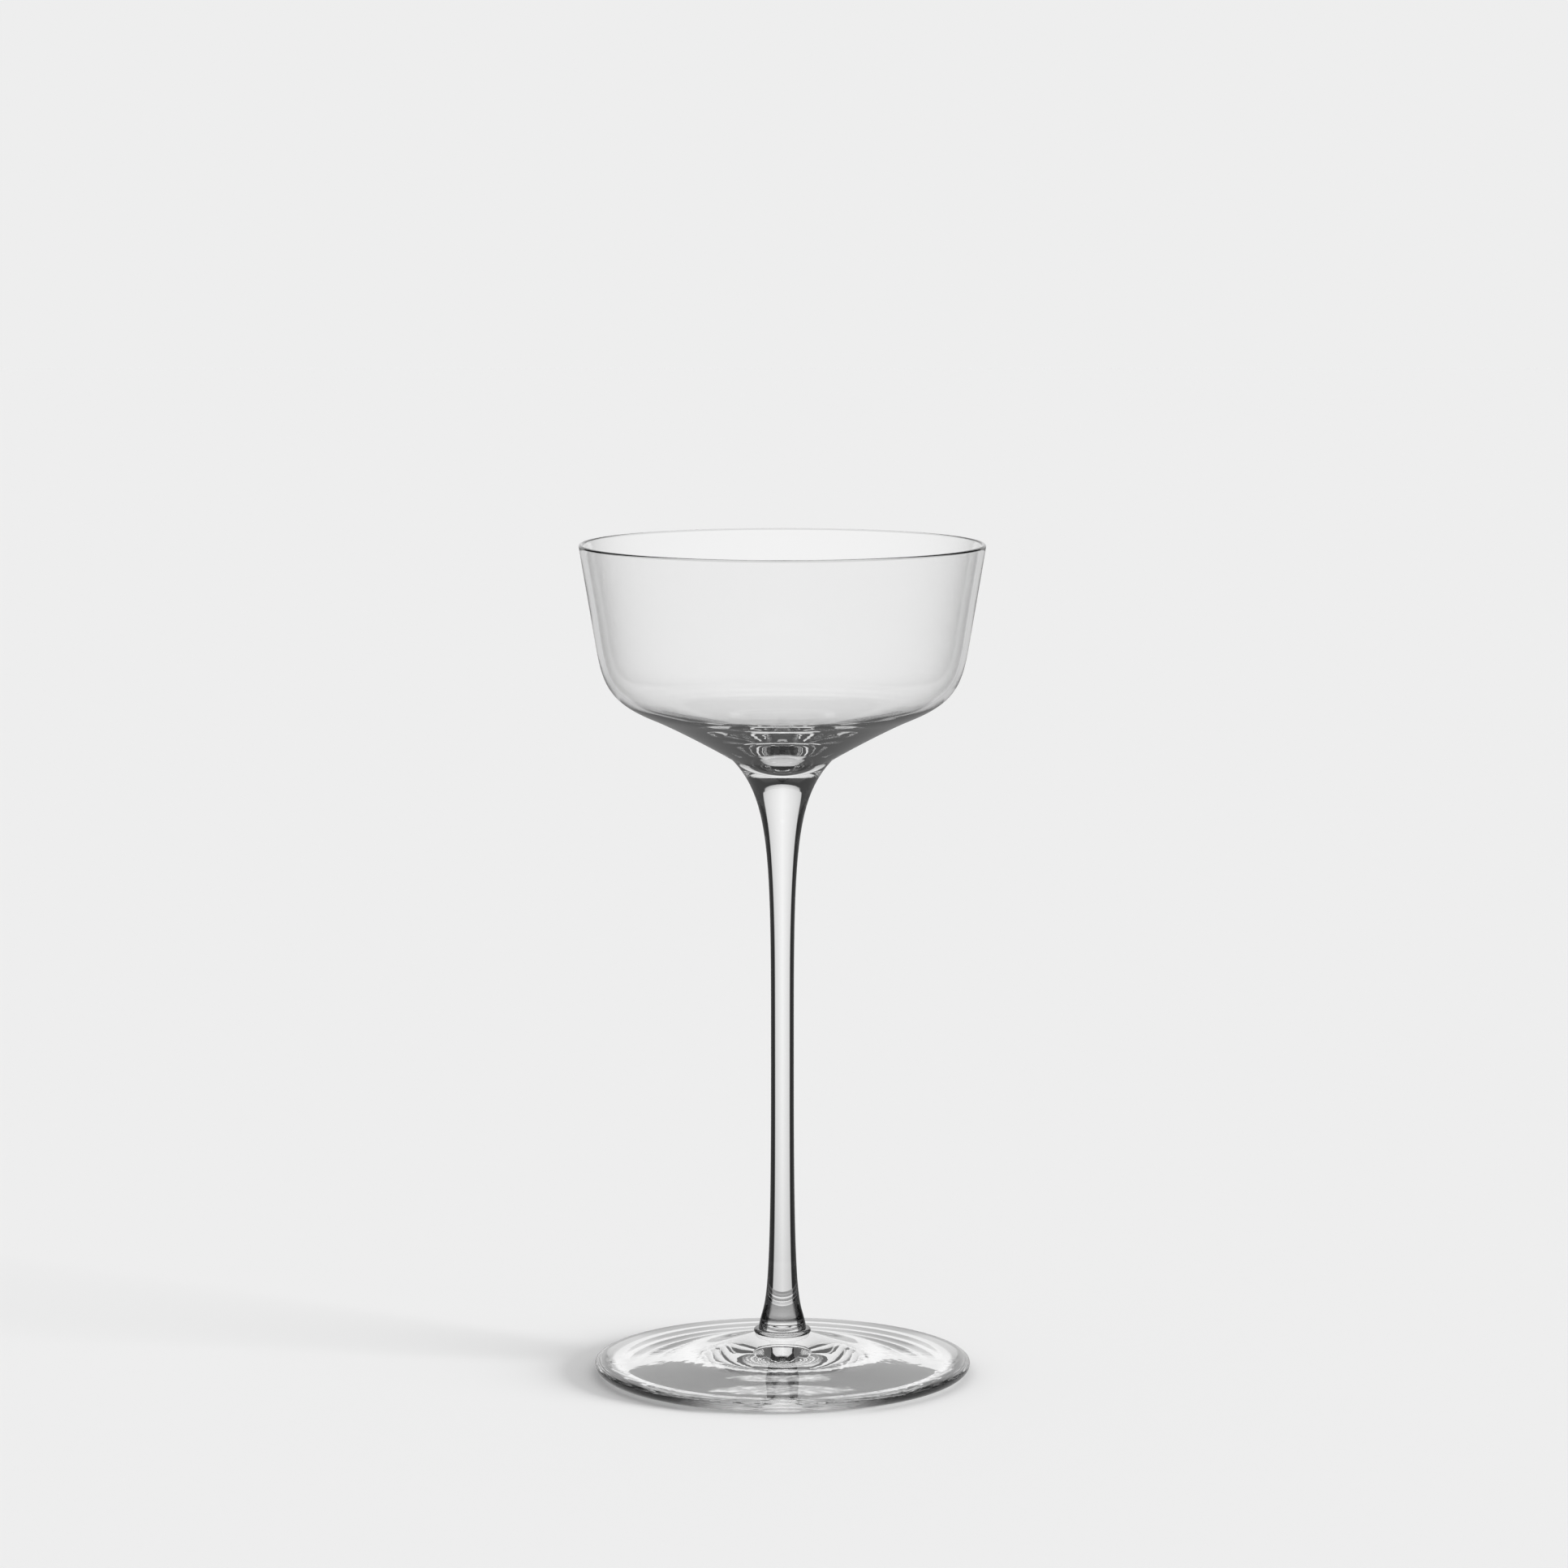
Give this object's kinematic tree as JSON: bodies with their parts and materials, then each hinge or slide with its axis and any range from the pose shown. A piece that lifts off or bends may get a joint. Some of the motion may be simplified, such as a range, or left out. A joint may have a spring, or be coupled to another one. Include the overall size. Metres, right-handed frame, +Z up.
{
  "type": "nick and nora glass",
  "caption": "Stemmed cocktail glass: thin straight-sided bowl with a conical floor on a slim flared stem, joined by a collar to a wide domed foot.",
  "frame": {"origin": "centre of the plane that the foot stands on", "axes": "+Z up along the stem's axis, towards the mouth; the glass is round, so +X and +Y are free"},
  "size_m": [0.0772, 0.0772, 0.1604],
  "materials": {
    "clear_glass": "clear, fire-polished, colourless"
  },
  "bodies": {
    "root": {"bowl": "clear_glass", "stem": "clear_glass", "collar": "clear_glass", "foot": "clear_glass"}
  },
  "joints": []
}
